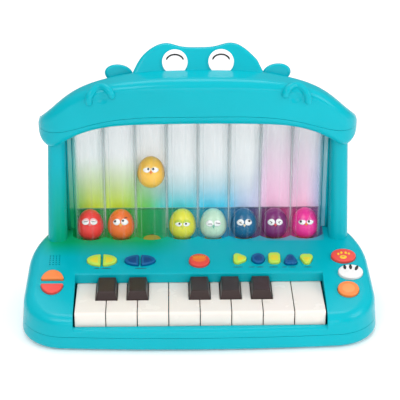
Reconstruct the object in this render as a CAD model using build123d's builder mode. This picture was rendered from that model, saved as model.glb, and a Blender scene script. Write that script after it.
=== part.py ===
from build123d import *
import os
from math import cos, radians, sin

os.makedirs("parts", exist_ok=True)

# ------------------------------------------------------------------ driving dimensions
# Millimetres and degrees. +X is the high-note end, +Y the back, +Z up. The origin is
# on the floor under the middle of the base, and the key axle lies in the plane y = 0.

WALL = 2.5                 # moulded wall of every casing
SEAM_GAP = 0.4             # visible groove between two casings
CLEAR = 0.4                # gap around each moving cap

BASE_FRONT_Y = -90.0
BASE_BACK_Y = 90.0
BASE_FRONT_HALF = 181.6    # half width at the front, measured at the floor
BASE_BACK_HALF = 176.0
BASE_BOW = 8.0             # how far the front edge bows forward
BASE_TAPER = 5.0           # lean of the side walls
BASE_FRONT_CORNER_R = 46.0
BASE_BACK_CORNER_R = 88.0
BASE_TOP_R = 12.0
BASE_BOTTOM_R = 4.5
FOOT_H = 1.5
BASE_SEAM_Z = 16.0
DECK_TILT = 13.9
DECK_Z = 55.3              # height of the sloping deck above the key axle

WELL_HALF = 126.2          # key well
WELL_FRONT_Y = -79.5
WELL_BACK_Y = -19.0
WELL_SKIRT_Z = 19.5        # lower edge of the well's own walls
WELL_UNDER_Z = 40.0        # levers pass under the panel below this height
LIP_Z = 25.0

KEY_PITCH = 31.2
KEY_GAP = 0.9
KEY_FRONT_Y = -78.0
KEY_REAR_Y = -17.0
KEY_TOP_Z = 39.4
KEY_BOTTOM_Z = 21.0
KEY_WALL = 2.0
WHITE_KEYS = 8
BLACK_BOUNDARIES = (1, 2, 4, 5, 6)
BLACK_W = 21.0
BLACK_TOP_W = 17.0
BLACK_FRONT_Y = -52.0
BLACK_REAR_Y = -20.2
BLACK_TOP_Z = 47.8
BLACK_BOTTOM_Z = 30.0
BLACK_DRAFT_Y = 2.5

AXLE_Z = 33.0
AXLE_R = 2.0
AXLE_BORE_R = 2.05
AXLE_HALF = 134.0
HUB_R = 5.0
WHITE_HUB_W = 14.0
BLACK_HUB_W = 10.0
LEVER_W = 8.0
LEVER_BOTTOM_Z = 29.0
LEVER_TOP_Z = 37.0
LEVER_TIP_Y = 58.0
AXLE_POSTS_X = (-131.0, -KEY_PITCH, 3 * KEY_PITCH, 131.0)
AXLE_POST_W = 4.0

TUBE_PITCH = 32.3
TUBE_Y = 49.0
TUBE_R = 16.0
TUBE_WALL = 1.2
TUBE_BOTTOM_Z = 51.5
TUBE_TOP_Z = 206.0
END_TUBE_TOP_Z = 197.0      # the head is lower over the first and last tube
TUBE_FLANGE_X = (129.4, 134.3)
TUBE_FLANGE_Z = (68.4, 176.0)
SCALLOP_R = 27.7           # shallow arcs of the deck edge in front of the tubes
SCALLOP_Y = 58.2
RECESS_HALF = 131.0
RECESS_FLOOR_Z = TUBE_BOTTOM_Z
REAR_WALL_Y = 67.0
REAR_WALL_TOP_Z = 79.8
REAR_WALL_HALF = 138.0
REAR_WALL_T = 4.0

POPPER_R = 9.3
POPPER_T = 2.4
POPPER_TOP_Z = 54.4
STEM_R = 3.0
STEM_BORE_R = 3.3
STEM_BOTTOM_Z = LEVER_TOP_Z + 0.3
GUIDE_R = 5.5
GUIDE_BOTTOM_Z = 43.5

BALL_R = 14.2
BALL_H = 34.0
BALL_REST_Z = POPPER_TOP_Z + 0.3
FLYING_BALL = 3            # this ball is shown in mid air
FLYING_LIFT = 61.0

POST_Y = (28.0, 62.0)
POST_BOTTOM_X = (136.5, 157.0)
POST_TOP_X = (134.6, 151.8)
POST_TOP_Z = 187.0
POST_CORNER_R = 8.0
POST_FOOT_Z = 55.0

# Head cross-sections from the middle outwards: distance from the middle, underside,
# top, front, where the top starts to fall away, and its height at the back.
# The last one is the small flat at each end.
HEAD_SECTIONS = (
    (0.0, 201.0, 250.0, 8.0, 42.0, 224.0),
    (60.0, 200.2, 247.8, 9.0, 41.0, 221.0),
    (92.0, 197.5, 242.8, 11.0, 38.0, 215.0),
    (118.0, 189.5, 234.2, 13.5, 35.5, 207.0),
    (136.0, 178.5, 222.3, 17.0, 34.5, 198.0),
    (148.0, 172.0, 210.8, 22.0, 36.0, 191.5),
    (154.5, 173.5, 204.0, 27.5, 39.5, 189.0),
    (159.0, 178.0, 198.5, 34.5, 44.5, 188.0),
    (161.5, 184.5, 192.5, 43.0, 51.0, 189.5),
)
HEAD_HALF = 161.5
HEAD_BACK_Y = 79.0
HEAD_EDGE_R = 11.0
HEAD_FALL_R = 22.0
HEAD_SEAM = ((0.0, 212.0), (79.0, 208.7), (108.0, 202.0), (137.0, 192.6), (167.0, 190.0))
SLEEVE_R = 17.6

# Middle line of the raised arch around the right nostril, and the dimple inside it.
NOSTRIL_ARCH = (
    (108.2, 12.3, 227.0),
    (106.4, 13.0, 235.0),
    (97.2, 17.6, 241.4),
    (88.2, 12.0, 239.8),
    (85.2, 10.6, 234.6),
)
NOSTRIL_R = 3.8
DIMPLE_AT = (96.6, -0.4, 231.6)
DIMPLE_R = 13.5


BROW_TILT = 32.0           # the brow leans back from the snout
BROW_FOOT_Y = 40.0
BROW_FOOT_Z = 249.6
BROW_DEPTH = 32.0
EYE_R = 12.7
EYE_X = 23.0
EYE_UP = 7.6               # eye centre above the foot of the brow, along its slope
EYE_T = 1.8

BUTTON_TRAVEL = 2.2
BUTTON_STAND = 3.0         # cap height above the deck
FLANGE_T = 2.0
FLANGE_OUT = 1.4
BUTTON_EDGE_R = 1.2
PAIR_GAP = {"left": 1.6, "right": 1.6, "upper": 5.9, "lower": 5.9}  # strip between halves

LIP_R = 4.5
TONGUE_INSET = WALL + 0.15
TONGUE_T = 1.3
BAY_LEDGE = 3.0
DOOR_SCREW_XY = (0.0, 20.5)
DOOR_BOSS_R = 5.0
KEY_BOARD_Z = 21.5
BOARD_T = 1.6
KEY_BOARD_Y = (-15.2, -5.2)
BOARD_PILLARS = ((-118, -9.5), (-40, -9.5), (40, -9.5), (118, -9.5))
DOME_H = 4.2               # contact dome height as pressed flat
LED_BOARD_Z = 45.0
PAD_T = 1.6
PAD_BOTTOM = 8.8           # below the deck surface
BUTTON_BOARDS = (
    ((-124, 124), (-14, 20)),
    ((-166, -134), (-52, -9)),
    ((135, 167), (-58, 15)),
)
GRILLE_PITCH = 3.2
GRILLE_R = 0.8

BROW_EDGE_R = 4.0
BROW_ROOT = -15.0          # its lower end, hidden inside the head
BROW_HALF = ((0, 23.4), (19, 24.9), (31, 27.8), (43.8, 24.2), (57.9, 11.7), (65.8, -3.2))
BROW_OUTLINE = [(-x, up) for x, up in reversed(BROW_HALF[1:])] + list(BROW_HALF)
EAR_X = 79.3
EAR_Y = 54.0
EAR_Z = 240.2
EAR_SIZE = (28.5, 18.5)
EAR_TURN = 8.0
EAR_T = 7.0

BROW_FACE = Plane(
    origin=(0, BROW_FOOT_Y, BROW_FOOT_Z),
    x_dir=(1, 0, 0),
    z_dir=(0, -cos(radians(BROW_TILT)), sin(radians(BROW_TILT))),
)
DECK = Plane(
    origin=(0, 0, DECK_Z),
    x_dir=(1, 0, 0),
    z_dir=(0, -sin(radians(DECK_TILT)), cos(radians(DECK_TILT))),
)
TUBE_XS = [(i - (WHITE_KEYS - 1) / 2) * TUBE_PITCH for i in range(WHITE_KEYS)]
WHITE_XS = [(i - (WHITE_KEYS - 1) / 2) * KEY_PITCH for i in range(WHITE_KEYS)]
BLACK_XS = [(n - WHITE_KEYS / 2) * KEY_PITCH for n in BLACK_BOUNDARIES]

SCREW_R = 1.3
SCREW_HEAD_R = 3.0
SCREW_HEAD_T = 2.4
BOSS_R = 4.0
BASE_SCREWS = ((-140, -66), (140, -66), (-157, 22), (157, 22), (-138, 54), (138, 54))
HEAD_SCREWS = ((-115, 71.2), (-50, 71.5), (50, 71.5), (115, 71.2))
FEET_XY = ((-105, -68), (105, -68), (-118, 66), (118, 66))
FOOT_R = 8.0

BAY_HALF_X = 40.0          # battery bay, open below
BAY_Y = (16.0, 76.0)
BAY_TOP_Z = 24.0
SWITCH_XY = (75.0, 45.0)
SWITCH_SLOT = (13.0, 6.0)
SWITCH_KNOB = (7.0, 5.2)
SWITCH_TRAVEL = 5.0

SPEAKER_X = -148.0
SPEAKER_Y = 1.5
SPEAKER_R = 11.8

LED_Y = 61.0
LED_R = 2.0


def save(part, name):
    part.label = name
    export_step(part, f"parts/{name}.step")


def on_deck(x, y):
    """Sketch coordinates on the sloping deck of the point seen from above at x, y."""
    return (x, y / cos(radians(DECK_TILT)))


# ------------------------------------------------------------------ shared forms
def base_form(inset):
    """Outer form of the whole base, drawn in by inset on every side."""
    with BuildPart() as form:
        with BuildSketch(Plane.XY.offset(FOOT_H + inset)) as outline:
            with BuildLine():
                ThreePointArc(
                    (-BASE_FRONT_HALF, BASE_FRONT_Y + BASE_BOW),
                    (0, BASE_FRONT_Y),
                    (BASE_FRONT_HALF, BASE_FRONT_Y + BASE_BOW),
                )
                Polyline(
                    (BASE_FRONT_HALF, BASE_FRONT_Y + BASE_BOW),
                    (BASE_BACK_HALF, BASE_BACK_Y),
                    (-BASE_BACK_HALF, BASE_BACK_Y),
                    (-BASE_FRONT_HALF, BASE_FRONT_Y + BASE_BOW),
                )
            make_face()
            fillet(outline.vertices().group_by(Axis.Y)[0], BASE_FRONT_CORNER_R)
            fillet(outline.vertices().group_by(Axis.Y)[-1], BASE_BACK_CORNER_R)
            if inset > 0:
                offset(amount=-inset)
        extrude(amount=100, taper=BASE_TAPER)
        split(bisect_by=DECK.offset(-inset), keep=Keep.BOTTOM)
        fillet(form.faces().sort_by(Axis.Z)[-1].edges(), BASE_TOP_R - inset)
        fillet(form.faces().sort_by(Axis.Z)[0].edges(), BASE_BOTTOM_R - inset)
    return form.part


def head_form(inset):
    """Outer form of the head: rounded sections lofted from one end to the other."""
    rows = [(-row[0], *row[1:]) for row in reversed(HEAD_SECTIONS[1:])]
    rows += HEAD_SECTIONS
    with BuildPart() as form:
        for x, low, high, front, fall_y, back_z in rows:
            back_y = HEAD_BACK_Y - (front - HEAD_SECTIONS[0][3]) / 3
            height = back_z - low
            pull = min(inset, height / 2 - 1.2)
            top_run = fall_y - front
            edge_r = min(HEAD_EDGE_R, height / 2 - 0.8, 0.6 * top_run) - pull
            fall_r = min(HEAD_FALL_R, 1.2 * top_run) - pull
            corners = (
                (front + pull, low + pull),
                (back_y - pull, low + pull),
                (back_y - pull, back_z - pull),
                (fall_y - pull / 4, high - pull),
                (front + pull, high - pull),
            )
            radii = [max(radius, 0.4) for radius in (edge_r, edge_r, edge_r, fall_r, edge_r)]
            with BuildSketch(Plane.YZ.offset(x * (HEAD_HALF - inset) / HEAD_HALF)):
                with BuildLine():
                    FilletPolyline(*corners, radius=radii, close=True)
                make_face()
        loft()
    return form.part


def nostril_form(side):
    """Raised arch lying on the upper front of the head."""
    with BuildPart() as ridge:
        with BuildLine() as arch:
            Spline(*[(side * x, y, z) for x, y, z in NOSTRIL_ARCH])
        with BuildSketch(Plane(origin=arch.line @ 0, z_dir=arch.line % 0)):
            Circle(NOSTRIL_R)
        sweep()
        with Locations(arch.line @ 0, arch.line @ 1):
            Sphere(NOSTRIL_R)
    return ridge.part


def below_head_seam(gap):
    """Everything under the curved seam of the head, lowered by gap."""
    with BuildPart() as block:
        with BuildSketch(Plane.XZ.offset(-100)):
            right = [(x, z - gap) for x, z in HEAD_SEAM]
            left = [(-x, z) for x, z in reversed(right[1:])]
            end = right[-1][0]
            with BuildLine():
                Spline(*left, *right)
                Polyline(right[-1], (end, 150), (-end, 150), left[0])
            make_face()
        extrude(amount=100)
    return block.part


def post_form(side, inset):
    """One side post, standing from inside the base up into the head."""
    low_z = POST_FOOT_Z + (23 if inset > 0 else 0)
    high_z = POST_TOP_Z - max(inset, 0)
    with BuildPart() as form:
        for z, (x_in, x_out) in ((low_z, POST_BOTTOM_X), (high_z, POST_TOP_X)):
            with BuildSketch(Plane.XY.offset(z)) as section:
                with Locations((side * (x_in + x_out) / 2, sum(POST_Y) / 2)):
                    Rectangle(x_out - x_in - 2 * inset, POST_Y[1] - POST_Y[0] - 2 * inset)
                fillet(section.vertices(), POST_CORNER_R - inset)
        loft()
    return form.part


def brow_form(inset):
    """Eye brow leaning back on the head, drawn in by inset on every side."""
    shrink = 1 - inset / BROW_HALF[-1][0]
    outline = [(x * shrink, up - inset) for x, up in BROW_OUTLINE]
    with BuildPart() as form:
        with BuildSketch(BROW_FACE.offset(-inset)):
            with BuildLine():
                Spline(*outline, tangents=((0.5, 1), (0.5, -1)))
                Polyline(
                    outline[-1],
                    (outline[-1][0], BROW_ROOT),
                    (outline[0][0], BROW_ROOT),
                    outline[0],
                )
            make_face()
        extrude(amount=-BROW_DEPTH + 2 * inset)
        if inset == 0:
            fillet(form.faces().sort_by(Axis.Y)[0].edges().sort_by(Axis.Z)[-1], BROW_EDGE_R)
    return form.part


def ear_form(side):
    """Leaf-shaped ear standing on the head beside the brow."""
    ear_face = Plane(origin=(side * EAR_X, EAR_Y, EAR_Z), x_dir=(1, 0, 0), z_dir=(0, -1, 0.35))
    with BuildPart() as form:
        with BuildSketch(ear_face):
            Ellipse(EAR_SIZE[0] / 2, EAR_SIZE[1] / 2, rotation=side * EAR_TURN)
        extrude(amount=EAR_T / 2, both=True)
        fillet(form.edges().filter_by(GeomType.ELLIPSE), EAR_T * 0.42)
    return form.part


def head_screw_z(x):
    """Height of a head screw's underside, just inside the head above its lower edge."""
    return (193.5 if abs(x) > 90 else 202.0) + 0.4


def recess_region(grow):
    """Scalloped outline of the recess that the tubes stand in."""
    with BuildSketch(Plane.XY, mode=Mode.PRIVATE) as region:
        for x in TUBE_XS:
            with Locations((x, SCALLOP_Y)):
                Circle(SCALLOP_R + grow)
        with Locations((0, REAR_WALL_Y + grow - 50)):
            Rectangle(2 * (RECESS_HALF + grow), 100, mode=Mode.INTERSECT)
    return region.sketch


# ------------------------------------------------------------------ buttons
TRIANGLE_TURN = {"triangle_right": 0, "triangle_up": 90, "triangle_down": -90}
HALF_SIDE = {"left": (1, 0), "right": (-1, 0), "upper": (0, -1), "lower": (0, 1)}


def button_outline(kind, width, depth, grow):
    """Outline of a button about its centre, grown by grow on every side."""
    with BuildSketch() as shape:
        if kind in TRIANGLE_TURN:
            turn = TRIANGLE_TURN[kind]
            along, across = (width, depth) if turn == 0 else (depth, width)
            Polygon(
                (-along / 2, -across / 2),
                (along / 2 + 1.5, 0),
                (-along / 2, across / 2),
                align=None,
                rotation=turn,
            )
            fillet(shape.vertices(), 3.4)
            offset(amount=grow + 1.1)
        elif kind == "square":
            RectangleRounded(width + 2 * grow, depth + 2 * grow, 4.6 + grow)
        else:
            Ellipse(width / 2 + grow, depth / 2 + grow)
        if kind in HALF_SIDE:
            half_gap = max(0.4, PAIR_GAP[kind] / 2 - grow)
            across, up = HALF_SIDE[kind]
            with Locations((across * (50 - half_gap), up * (50 - half_gap))):
                Rectangle(100, 100, mode=Mode.SUBTRACT)
            fillet(shape.vertices(), 1.8 + min(grow, 0))
    return shape.sketch


# name, outline, x, y seen from above, width, depth along the deck
BUTTONS = (
    ("button_left_upper", "upper", -148.8, -31.0, 24.5, 34.6),
    ("button_left_lower", "lower", -148.8, -31.0, 24.5, 34.6),
    ("button_lime_left", "left", -99.5, -0.5, 31.7, 16.8),
    ("button_lime_right", "right", -99.5, -0.5, 31.7, 16.8),
    ("button_blue_left", "left", -60.4, -1.1, 32.5, 15.8),
    ("button_blue_right", "right", -60.4, -1.1, 32.5, 15.8),
    ("button_red_centre", "ellipse", 0.5, -2.3, 22.0, 19.3),
    ("button_small_1", "triangle_right", 43.3, 0.0, 14.0, 18.0),
    ("button_small_2", "ellipse", 61.1, 0.0, 14.4, 15.0),
    ("button_small_3", "square", 77.8, 0.5, 13.2, 16.0),
    ("button_small_4", "triangle_up", 94.3, -0.5, 16.0, 16.0),
    ("button_small_5", "triangle_down", 110.9, -3.2, 15.5, 16.0),
    ("button_right_red", "ellipse", 149.2, 2.6, 26.2, 20.4),
    ("button_right_white", "ellipse", 154.4, -20.8, 26.0, 21.0),
    ("button_right_orange", "ellipse", 149.9, -45.0, 22.3, 22.0),
)


def button_plane(x, y):
    return Plane(DECK.location * Location(on_deck(x, y)))


def make_button(name, kind, x, y, width, depth):
    under_deck = button_plane(x, y).offset(-WALL - 0.3)
    with BuildPart() as flange:
        with BuildSketch(under_deck):
            add(button_outline(kind, width, depth, FLANGE_OUT))
        extrude(amount=-FLANGE_T)
        add(inside_casing, mode=Mode.INTERSECT)
    with BuildPart() as button:
        with BuildSketch(under_deck):
            add(button_outline(kind, width, depth, -CLEAR))
        extrude(amount=WALL + 0.3 + BUTTON_STAND)
        cap_top = button.faces().sort_by(Axis(under_deck.origin, under_deck.z_dir))[-1]
        fillet(cap_top.edges(), BUTTON_EDGE_R)
        add(flange.part)
    save(button.part, name)


inside_casing = base_form(WALL + 0.3)
for row in BUTTONS:
    make_button(*row)


# ------------------------------------------------------------------ keys
def lever_form(x, front_y, tip_y, width, hub_width):
    """Lever bar with its hub, running back from the key body over the axle."""
    with BuildPart() as lever:
        with BuildSketch(Plane.YZ.offset(x - width / 2)):
            with Locations(((front_y + tip_y) / 2, (LEVER_BOTTOM_Z + LEVER_TOP_Z) / 2)):
                Rectangle(tip_y - front_y, LEVER_TOP_Z - LEVER_BOTTOM_Z)
        extrude(amount=width)
        with BuildSketch(Plane.YZ.offset(x - hub_width / 2)):
            with Locations((0, AXLE_Z)):
                Circle(HUB_R)
        extrude(amount=hub_width)
        with BuildSketch(Plane.YZ.offset(x - hub_width / 2)):
            with Locations((0, AXLE_Z)):
                Circle(AXLE_BORE_R)
        extrude(amount=hub_width, mode=Mode.SUBTRACT)
    return lever.part


def white_plan(index, inset):
    """Plan of a white key, cut back where a black key stands beside it."""
    x = WHITE_XS[index]
    notch = BLACK_W + 2 * CLEAR + 0.4
    with BuildSketch() as plan:
        with Locations((x, (KEY_FRONT_Y + KEY_REAR_Y) / 2)):
            Rectangle(KEY_PITCH - KEY_GAP, KEY_REAR_Y - KEY_FRONT_Y)
        for black_x in BLACK_XS:
            with Locations((black_x, BLACK_FRONT_Y - 1 + 50)):
                Rectangle(notch, 100, mode=Mode.SUBTRACT)
        if inset > 0:
            offset(amount=-inset, kind=Kind.INTERSECTION)
    return plan.sketch


def make_white_key(index):
    with BuildPart() as key:
        with BuildSketch(Plane.XY.offset(KEY_BOTTOM_Z)):
            add(white_plan(index, 0))
        extrude(amount=KEY_TOP_Z - KEY_BOTTOM_Z)
        front = key.faces().sort_by(Axis.Y)[0]
        fillet(front.edges().sort_by(Axis.Z)[-1], 2.5)
        chamfer(key.edges().group_by(Axis.Z)[-1], 0.5)
        with BuildSketch(Plane.XY.offset(KEY_BOTTOM_Z)):
            add(white_plan(index, KEY_WALL))
        extrude(amount=KEY_TOP_Z - KEY_BOTTOM_Z - WALL, mode=Mode.SUBTRACT)
        add(lever_form(WHITE_XS[index], KEY_REAR_Y - KEY_WALL, LEVER_TIP_Y, LEVER_W, WHITE_HUB_W))
    save(key.part, f"white_key_{index + 1}")


def make_black_key(number):
    x = BLACK_XS[number]
    length = BLACK_REAR_Y - BLACK_FRONT_Y
    with BuildPart() as key:
        with BuildSketch(Plane.XY.offset(BLACK_BOTTOM_Z)):
            with Locations((x, (BLACK_FRONT_Y + BLACK_REAR_Y) / 2)):
                Rectangle(BLACK_W, length)
        extrude(amount=KEY_TOP_Z - BLACK_BOTTOM_Z)
        with BuildSketch(Plane.XY.offset(KEY_TOP_Z)):
            with Locations((x, (BLACK_FRONT_Y + BLACK_REAR_Y) / 2)):
                Rectangle(BLACK_W, length)
        with BuildSketch(Plane.XY.offset(BLACK_TOP_Z)):
            with Locations((x, (BLACK_FRONT_Y + BLACK_DRAFT_Y + BLACK_REAR_Y) / 2)):
                Rectangle(BLACK_TOP_W, length - BLACK_DRAFT_Y)
        loft()
        fillet(key.faces().sort_by(Axis.Z)[-1].edges(), 1.6)
        with BuildSketch(Plane.XY.offset(BLACK_BOTTOM_Z)):
            with Locations((x, (BLACK_FRONT_Y + BLACK_REAR_Y) / 2)):
                Rectangle(BLACK_TOP_W - 2 * KEY_WALL, length - 4 * KEY_WALL)
        extrude(amount=BLACK_TOP_Z - BLACK_BOTTOM_Z - WALL, mode=Mode.SUBTRACT)
        add(lever_form(x, BLACK_REAR_Y - KEY_WALL, HUB_R, LEVER_W - 1, BLACK_HUB_W))
    save(key.part, f"black_key_{number + 1}")


for i in range(WHITE_KEYS):
    make_white_key(i)
for i in range(len(BLACK_XS)):
    make_black_key(i)

with BuildPart() as key_axle:
    with BuildSketch(Plane.YZ.offset(-AXLE_HALF)):
        with Locations((0, AXLE_Z)):
            Circle(AXLE_R)
    extrude(amount=2 * AXLE_HALF)
save(key_axle.part, "key_axle")


# ------------------------------------------------------------------ poppers and balls
def make_popper(index):
    with BuildPart() as popper:
        with BuildSketch(Plane.XY.offset(POPPER_TOP_Z - POPPER_T)):
            with Locations((TUBE_XS[index], TUBE_Y)):
                Circle(POPPER_R)
        extrude(amount=POPPER_T)
        fillet(popper.faces().sort_by(Axis.Z)[-1].edges(), 0.8)
        with BuildSketch(Plane.XY.offset(STEM_BOTTOM_Z)):
            with Locations((TUBE_XS[index], TUBE_Y)):
                Circle(STEM_R)
        extrude(amount=POPPER_TOP_Z - POPPER_T - STEM_BOTTOM_Z)
        fillet(popper.faces().sort_by(Axis.Z)[0].edges(), 1.2)
    save(popper.part, f"popper_{index + 1}")


def make_ball(index):
    lift = FLYING_LIFT if index + 1 == FLYING_BALL else 0.0
    foot = (TUBE_XS[index], TUBE_Y, BALL_REST_Z + lift)
    waist = 0.44 * BALL_H
    round_r = 0.55 * BALL_R
    shoulder = waist + 0.55 * (BALL_H - waist)
    with BuildPart() as ball:
        with BuildSketch(Plane(origin=foot, x_dir=(1, 0, 0), z_dir=(0, -1, 0))):
            with BuildLine():
                Bezier((0, 0), (round_r, 0), (BALL_R, 0.45 * waist), (BALL_R, waist))
                Bezier((BALL_R, waist), (BALL_R, shoulder), (round_r, BALL_H), (0, BALL_H))
                Line((0, BALL_H), (0, 0))
            make_face()
        revolve(axis=Axis(foot, (0, 0, 1)))
    save(ball.part, f"ball_{index + 1}")


for i in range(WHITE_KEYS):
    make_popper(i)
    make_ball(i)


def tube_top(x):
    return END_TUBE_TOP_Z if abs(x) > 100 else TUBE_TOP_Z


with BuildPart() as ball_tubes:
    for x in TUBE_XS:
        with BuildSketch(Plane.XY.offset(TUBE_BOTTOM_Z)):
            with Locations((x, TUBE_Y)):
                Circle(TUBE_R)
                Circle(TUBE_R - TUBE_WALL, mode=Mode.SUBTRACT)
        extrude(amount=tube_top(x) - TUBE_BOTTOM_Z)
    with BuildSketch(Plane.XY.offset(TUBE_FLANGE_Z[0])):
        for side in (-1, 1):
            with Locations((side * sum(TUBE_FLANGE_X) / 2, TUBE_Y)):
                Rectangle(TUBE_FLANGE_X[1] - TUBE_FLANGE_X[0], 2)
    extrude(amount=TUBE_FLANGE_Z[1] - TUBE_FLANGE_Z[0])
save(ball_tubes.part, "ball_tubes")


# ------------------------------------------------------------------ casings
base_outer = base_form(0)
base_inner = base_form(WALL)
head_outer = head_form(0)
head_inner = head_form(WALL)
recess_plan = recess_region(0)
recess_plan_outer = recess_region(WALL)


def box(x_range, y_range, z_range):
    """Plain block between three pairs of limits."""
    with BuildPart() as block:
        with BuildSketch(Plane.XY.offset(z_range[0])):
            with Locations((sum(x_range) / 2, sum(y_range) / 2)):
                Rectangle(x_range[1] - x_range[0], y_range[1] - y_range[0])
        extrude(amount=z_range[1] - z_range[0])
    return block.part


def pillars(places, radius, low, high):
    """Round bars standing at the given places."""
    with BuildPart() as bars:
        with BuildSketch(Plane.XY.offset(low)):
            with Locations(*places):
                Circle(radius)
        extrude(amount=high - low)
    return bars.part


def prism(sketch, low, high):
    with BuildPart() as body:
        with BuildSketch(Plane.XY.offset(low)):
            add(sketch)
        extrude(amount=high - low)
    return body.part


tube_places = [(x, TUBE_Y) for x in TUBE_XS]
led_places = [(x, LED_Y) for x in TUBE_XS]
well_wall_half = WELL_HALF + WALL
floor_z = FOOT_H + WALL
slot_x, slot_y = SWITCH_XY

# The cavity under the deck leaves the lip in front of the keys closed on top.
with BuildPart() as base_cavity:
    add(base_inner)
    add(
        box((-well_wall_half, well_wall_half), (-100, WELL_FRONT_Y - WALL), (LIP_Z - WALL, 60)),
        mode=Mode.SUBTRACT,
    )

over_lip = box((-WELL_HALF, WELL_HALF), (-100, WELL_FRONT_Y), (LIP_Z, 60))

with BuildPart() as well_skirt:
    add(
        box(
            (-well_wall_half, well_wall_half),
            (WELL_FRONT_Y - WALL, WELL_BACK_Y + WALL),
            (WELL_SKIRT_Z, 60),
        )
    )
    add(base_outer, mode=Mode.INTERSECT)
    add(over_lip, mode=Mode.SUBTRACT)

with BuildPart() as recess_walls:
    add(prism(recess_plan_outer, RECESS_FLOOR_Z - WALL, 90))
    add(base_outer, mode=Mode.INTERSECT)

with BuildPart() as base_bosses:
    add(pillars(BASE_SCREWS, BOSS_R, BASE_SEAM_Z + SEAM_GAP / 2, 90))
    add(base_outer, mode=Mode.INTERSECT)

with BuildPart() as base_top_shell:
    add(base_outer)
    add(over_lip, mode=Mode.SUBTRACT)
    fillet(base_top_shell.edges().sort_by_distance((0, BASE_FRONT_Y, LIP_Z))[0], LIP_R)
    add(base_cavity.part, mode=Mode.SUBTRACT)
    split(bisect_by=Plane.XY.offset(BASE_SEAM_Z + SEAM_GAP / 2), keep=Keep.TOP)
    add(well_skirt.part)
    add(recess_walls.part)
    add(base_bosses.part)
    add(pillars(tube_places, GUIDE_R, GUIDE_BOTTOM_Z, RECESS_FLOOR_Z - WALL))
    add(
        box(
            (-REAR_WALL_HALF, REAR_WALL_HALF),
            (REAR_WALL_Y, REAR_WALL_Y + REAR_WALL_T),
            (RECESS_FLOOR_Z, REAR_WALL_TOP_Z),
        )
    )
    # openings: key well, lever passage, tube recess, popper guides, lights, screws
    add(box((-WELL_HALF, WELL_HALF), (WELL_FRONT_Y, WELL_BACK_Y), (10, 60)), mode=Mode.SUBTRACT)
    add(
        box((-WELL_HALF, WELL_HALF), (WELL_BACK_Y - 1, WELL_BACK_Y + WALL + 1), (10, WELL_UNDER_Z)),
        mode=Mode.SUBTRACT,
    )
    add(prism(recess_plan, RECESS_FLOOR_Z, 100), mode=Mode.SUBTRACT)
    add(pillars(tube_places, STEM_BORE_R, 40, 60), mode=Mode.SUBTRACT)
    add(pillars(led_places, LED_R + 0.2, 45, 55), mode=Mode.SUBTRACT)
    add(pillars(BASE_SCREWS, SCREW_R + 0.05, 10, 30), mode=Mode.SUBTRACT)
    for name, kind, x, y, width, depth in BUTTONS:
        with BuildSketch(button_plane(x, y).offset(-2 * WALL)):
            add(button_outline(kind, width, depth, 0))
        extrude(amount=4 * WALL, mode=Mode.SUBTRACT)
    with BuildSketch(button_plane(SPEAKER_X, SPEAKER_Y).offset(-2 * WALL)):
        with GridLocations(GRILLE_PITCH, GRILLE_PITCH, 4, 5):
            Circle(GRILLE_R)
    extrude(amount=4 * WALL, mode=Mode.SUBTRACT)
    panel_front = (0, WELL_BACK_Y, DECK_Z + WELL_BACK_Y * sin(radians(DECK_TILT)))
    fillet(base_top_shell.edges().sort_by_distance(panel_front)[0], 2.0)
save(base_top_shell.part, "base_top_shell")

# Tongue that closes the base seam from inside, and the band that carries it.
behind_tongue = base_form(TONGUE_INSET + TONGUE_T)

with BuildPart() as tongue:
    add(base_form(TONGUE_INSET))
    add(box((-200, 200), (-100, 100), (BASE_SEAM_Z - 4, BASE_SEAM_Z + 3)), mode=Mode.INTERSECT)
    add(behind_tongue, mode=Mode.SUBTRACT)

with BuildPart() as tongue_root:
    add(base_inner)
    add(
        box((-200, 200), (-100, 100), (BASE_SEAM_Z - 4, BASE_SEAM_Z - SEAM_GAP / 2)),
        mode=Mode.INTERSECT,
    )
    add(behind_tongue, mode=Mode.SUBTRACT)

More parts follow.
